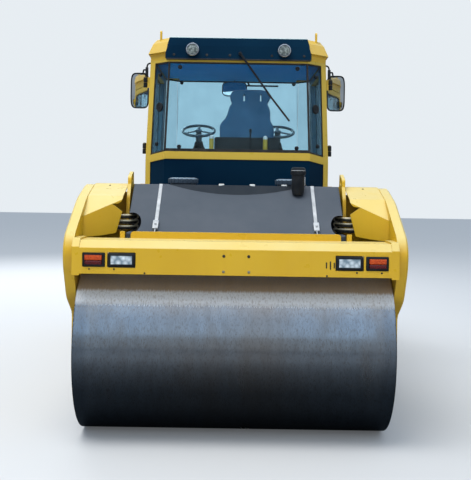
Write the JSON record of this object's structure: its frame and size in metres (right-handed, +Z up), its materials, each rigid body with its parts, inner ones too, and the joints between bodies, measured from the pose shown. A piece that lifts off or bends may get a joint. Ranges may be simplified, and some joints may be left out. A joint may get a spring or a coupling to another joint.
{
  "type": "tandem road roller",
  "caption": "Articulated tandem road roller with two smooth steel drums, a glazed cab, a water tank at one end and an engine hood at the other.",
  "frame": {"origin": "on the ground under the steering pivot, in the middle of the machine", "axes": "+Y the forward way, away from the water tank; +X the right side; +Z up"},
  "size_m": [2.295, 4.91, 3.065],
  "materials": {
    "yellow_paint": "glossy machine yellow, a little worn",
    "drum_steel": "rolled steel, polished by use, with rust haze",
    "tank_plastic": "dark grey moulded plastic, fine grain",
    "navy_paint": "dark blue-black satin paint",
    "black_plastic": "black plastic",
    "black_rubber": "black rubber",
    "strap_steel": "bright strap steel",
    "lamp_lens": "amber, red and clear lenses in black housings",
    "chrome": "bright",
    "clear_glass": "tinted safety glass",
    "seat_fabric": "charcoal woven cover",
    "grey_iron": "painted casting",
    "frame_steel": "dark satin paint"
  },
  "bodies": {
    "rear_frame": {"rear_centre_frame": "yellow_paint", "rear_side_plates": "yellow_paint", "rear_end_beam": "yellow_paint", "rear_lamps": "lamp_lens", "rear_corner_covers": "yellow_paint", "rear_lifting_plates": "yellow_paint", "rear_hub_carriers": "frame_steel", "rear_drum_fittings": "frame_steel", "rear_hoses": "black_rubber", "water_tank": "tank_plastic", "tank_fittings": "black_plastic", "tank_straps": "strap_steel", "access_steps": "frame_steel", "cab_platform": "frame_steel", "cab_frame": "yellow_paint", "cab_panels": "navy_paint", "cab_glass": "clear_glass", "cab_roof": "navy_paint", "roof_sides": "yellow_paint", "roof_lamps": "chrome", "operator_seat": "seat_fabric", "control_consoles": "black_plastic", "steering_wheels": "black_plastic", "mirrors": "black_plastic", "wipers": "black_plastic", "handrails": "yellow_paint"},
    "rear_drum": {"rear_drum": "drum_steel"},
    "door_left": {"door_frame_left": "yellow_paint", "door_glass_left": "clear_glass"},
    "door_right": {"door_frame_right": "yellow_paint", "door_glass_right": "clear_glass"},
    "steering_barrel_left": {"steering_barrel_left": "frame_steel"},
    "steering_rod_left": {"steering_rod_left": "chrome"},
    "steering_barrel_right": {"steering_barrel_right": "frame_steel"},
    "steering_rod_right": {"steering_rod_right": "chrome"},
    "yoke": {"articulation_yoke": "frame_steel"},
    "front_frame": {"front_centre_frame": "yellow_paint", "front_side_plates": "yellow_paint", "front_end_beam": "yellow_paint", "front_lamps": "lamp_lens", "front_corner_covers": "yellow_paint", "front_lifting_plates": "yellow_paint", "front_hub_carriers": "frame_steel", "front_drum_fittings": "frame_steel", "engine_block": "grey_iron"},
    "front_drum": {"front_drum": "drum_steel"},
    "hood": {"engine_hood": "yellow_paint", "hood_grilles": "black_plastic"}
  },
  "joints": [
    {"name": "rear_drum_roll", "type": "hinge", "parent": "rear_frame", "child": "rear_drum", "pos_m": [0, -1.845, 0.61], "axis": [1, 0, 0], "continuous": true},
    {"name": "front_drum_roll", "type": "hinge", "parent": "front_frame", "child": "front_drum", "pos_m": [0, 1.845, 0.61], "axis": [1, 0, 0], "continuous": true},
    {"name": "steering", "type": "hinge", "parent": "rear_frame", "child": "yoke", "pos_m": [0, 0, 0.745], "axis": [0, 0, 1], "range_deg": [-33, 33]},
    {"name": "frame_swing", "type": "hinge", "parent": "yoke", "child": "front_frame", "pos_m": [0, 0.18, 0.745], "axis": [0, 1, 0], "range_deg": [-8, 8]},
    {"name": "door_left_open", "type": "hinge", "parent": "rear_frame", "child": "door_left", "pos_m": [-0.8, -0.672, 1.56], "axis": [0, 0, 1], "range_deg": [0, 85]},
    {"name": "door_right_open", "type": "hinge", "parent": "rear_frame", "child": "door_right", "pos_m": [0.8, -0.672, 1.56], "axis": [0, 0, 1], "range_deg": [-85, 0]},
    {"name": "hood_open", "type": "hinge", "parent": "front_frame", "child": "hood", "pos_m": [0, 2.12, 1.43], "axis": [1, 0, 0], "range_deg": [-60, 0]},
    {"name": "cylinder_swing_left", "type": "hinge", "parent": "rear_frame", "child": "steering_barrel_left", "pos_m": [-0.46, -0.74, 0.775], "axis": [0, 0, 1], "range_deg": [-1, 1]},
    {"name": "cylinder_slide_left", "type": "slide", "parent": "steering_barrel_left", "child": "steering_rod_left", "axis": [0.2979, 0.9546, 0], "range_m": [-0.12, 0.12]},
    {"name": "cylinder_swing_right", "type": "hinge", "parent": "rear_frame", "child": "steering_barrel_right", "pos_m": [0.46, -0.74, 0.775], "axis": [0, 0, 1], "range_deg": [-1, 1]},
    {"name": "cylinder_slide_right", "type": "slide", "parent": "steering_barrel_right", "child": "steering_rod_right", "axis": [-0.2979, 0.9546, 0], "range_m": [-0.12, 0.12]}
  ],
  "couplings": [
    {"joint": "cylinder_swing_left", "follows": "steering", "ratio": -0.0241},
    {"joint": "cylinder_slide_left", "follows": "steering", "m_per_rad": -0.2057},
    {"joint": "cylinder_swing_right", "follows": "steering", "ratio": -0.0241},
    {"joint": "cylinder_slide_right", "follows": "steering", "m_per_rad": 0.2057}
  ]
}
